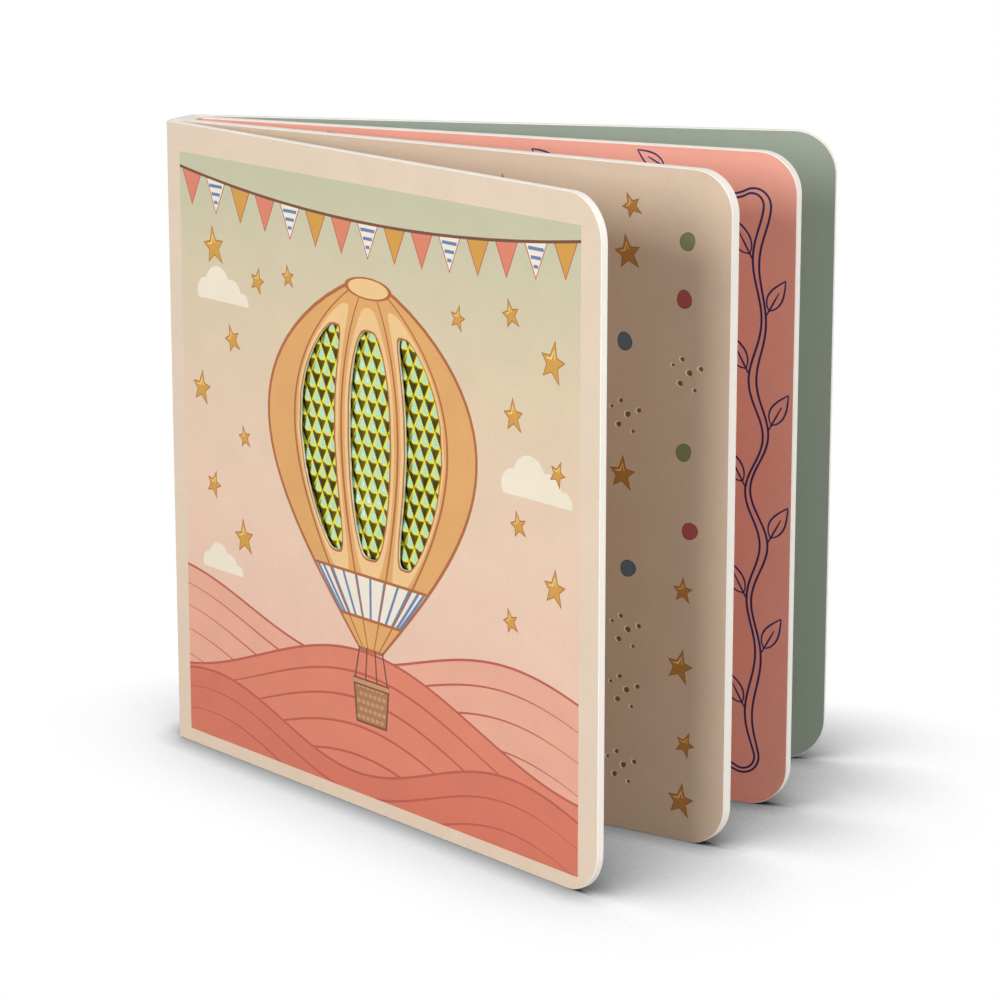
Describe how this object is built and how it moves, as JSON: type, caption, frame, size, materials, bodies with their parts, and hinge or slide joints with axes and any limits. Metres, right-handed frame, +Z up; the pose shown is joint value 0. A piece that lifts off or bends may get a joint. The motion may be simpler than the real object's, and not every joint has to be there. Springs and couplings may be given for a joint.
{
  "type": "touch-and-feel book",
  "caption": "Square board book for a small child, standing fanned open, with hinged covers and embossed foil showing through die-cut windows in the front cover.",
  "frame": {"origin": "foot of the spine, in the middle of its thickness, on the line between the two cover hinges", "axes": "+X from the spine to the fore-edge, +Y from the front cover to the back cover, +Z up along the spine"},
  "size_m": [0.183, 0.1361, 0.18],
  "materials": {
    "cover_card": "matt printed card",
    "foil": "metallised embossed film",
    "cover_board": "matt printed board, white core",
    "page_board": "matt printed board, white core"
  },
  "bodies": {
    "page_block": {"pages": "page_board", "spine": "cover_card"},
    "front_cover": {"front_cover_card": "cover_card", "foil_sheet": "foil", "front_cover_board": "cover_board"},
    "back_cover": {"back_cover": "cover_board"}
  },
  "joints": [
    {"name": "front_cover_hinge", "type": "hinge", "parent": "page_block", "child": "front_cover", "pos_m": [0, -0.00641, 0], "axis": [0, 0, -1], "range_deg": [-15, 155]},
    {"name": "back_cover_hinge", "type": "hinge", "parent": "page_block", "child": "back_cover", "pos_m": [0, 0.0064, 0], "axis": [0, 0, 1], "range_deg": [-12.5, 160]}
  ]
}
